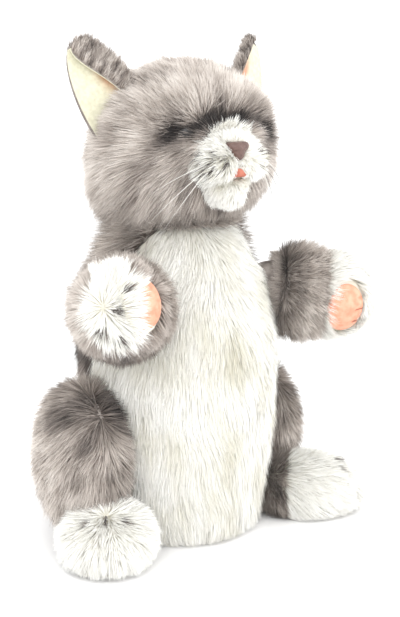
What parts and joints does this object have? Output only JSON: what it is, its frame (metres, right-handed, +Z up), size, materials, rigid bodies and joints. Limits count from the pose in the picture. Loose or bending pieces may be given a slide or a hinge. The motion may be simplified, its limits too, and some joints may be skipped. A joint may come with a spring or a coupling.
{
  "type": "kitten hand puppet",
  "caption": "Plush kitten hand puppet with an open sleeve body, finger pockets in the head and forepaws, and stuffed hind legs and tail.",
  "frame": {"origin": "middle of the open hem, on the plane the puppet stands on", "axes": "+Z up the body, the face looks along -Y, the kitten's left is +X"},
  "size_m": [0.206, 0.2064, 0.2964],
  "materials": {
    "grey_plush": "long soft pile, grey with dark roots",
    "white_plush": "long soft pile, creamy white",
    "ear_velour": "short pile",
    "peach_felt": "matt felt",
    "sole_felt": "matt felt",
    "lining_cloth": "smooth woven",
    "binding_tape": "woven tape",
    "label_tape": "blank satin tape",
    "stuffing": "polyester fibre",
    "eye_plastic": "polished",
    "nose_plastic": "satin",
    "washer_plastic": "moulded",
    "whisker_nylon": "clear nylon"
  },
  "bodies": {
    "sleeve": {"back_panel": "grey_plush", "belly_panel": "white_plush", "sleeve_lining": "lining_cloth", "hem_binding": "binding_tape", "care_label": "label_tape"},
    "neck": {"neck_gusset": "grey_plush"},
    "head": {"ear_left_back": "grey_plush", "ear_left_lining": "ear_velour", "ear_right_back": "grey_plush", "ear_right_lining": "ear_velour", "eye_left": "eye_plastic", "eye_right": "eye_plastic", "eye_washer_left": "washer_plastic", "eye_washer_right": "washer_plastic", "head_finger_pocket": "lining_cloth", "head_skin": "grey_plush", "head_stuffing": "stuffing", "lower_lip": "peach_felt", "muzzle": "white_plush", "nose": "nose_plastic", "nose_washer": "washer_plastic", "whiskers_left": "whisker_nylon", "whiskers_right": "whisker_nylon"},
    "tail": {"tail": "grey_plush", "tail_stuffing": "stuffing"},
    "shoulder_left": {"shoulder_gusset_left": "grey_plush"},
    "arm_left": {"arm_finger_pocket_left": "lining_cloth", "arm_sleeve_left": "grey_plush", "arm_stuffing_left": "stuffing", "palm_pad_left": "peach_felt", "paw_left": "white_plush", "paw_stuffing_left": "stuffing"},
    "leg_left": {"foot_left": "white_plush", "foot_stuffing_left": "stuffing", "hip_seam_left": "grey_plush", "sole_pad_left": "sole_felt", "thigh_left": "grey_plush", "thigh_stuffing_left": "stuffing"},
    "shoulder_right": {"shoulder_gusset_right": "grey_plush"},
    "arm_right": {"arm_finger_pocket_right": "lining_cloth", "arm_sleeve_right": "grey_plush", "arm_stuffing_right": "stuffing", "palm_pad_right": "peach_felt", "paw_right": "white_plush", "paw_stuffing_right": "stuffing"},
    "leg_right": {"foot_right": "white_plush", "foot_stuffing_right": "stuffing", "hip_seam_right": "grey_plush", "sole_pad_right": "sole_felt", "thigh_right": "grey_plush", "thigh_stuffing_right": "stuffing"}
  },
  "joints": [
    {"name": "head_turn", "type": "hinge", "parent": "sleeve", "child": "neck", "pos_m": [0, 0, 0.158], "axis": [0, 0, 1], "range_deg": [-50, 50]},
    {"name": "head_nod", "type": "hinge", "parent": "neck", "child": "head", "pos_m": [0, 0, 0.158], "axis": [1, 0, 0], "range_deg": [-15, 20]},
    {"name": "arm_swing_left", "type": "hinge", "parent": "sleeve", "child": "shoulder_left", "pos_m": [0.05344, -0.02379, 0.145], "axis": [0, 0, -1], "range_deg": [-24, 24]},
    {"name": "arm_lift_left", "type": "hinge", "parent": "shoulder_left", "child": "arm_left", "pos_m": [0.05344, -0.02379, 0.145], "axis": [-0.5878, -0.809, 0], "range_deg": [-15, 42]},
    {"name": "leg_swing_left", "type": "hinge", "parent": "sleeve", "child": "leg_left", "pos_m": [0.05259, 0.01817, 0.045], "axis": [-0.9563, -0.2924, 0], "range_deg": [-12, 45]},
    {"name": "arm_swing_right", "type": "hinge", "parent": "sleeve", "child": "shoulder_right", "pos_m": [-0.05344, -0.02379, 0.145], "axis": [0, 0, 1], "range_deg": [-36, 16]},
    {"name": "arm_lift_right", "type": "hinge", "parent": "shoulder_right", "child": "arm_right", "pos_m": [-0.05344, -0.02379, 0.145], "axis": [-0.788, 0.6157, 0], "range_deg": [-24, 28]},
    {"name": "leg_swing_right", "type": "hinge", "parent": "sleeve", "child": "leg_right", "pos_m": [-0.0556, 0.002, 0.052], "axis": [-1, 0, 0], "range_deg": [-35, 45]},
    {"name": "tail_swing", "type": "hinge", "parent": "sleeve", "child": "tail", "pos_m": [0, 0.05827, 0.036], "axis": [0, 0, 1], "range_deg": [-20, 70]}
  ]
}
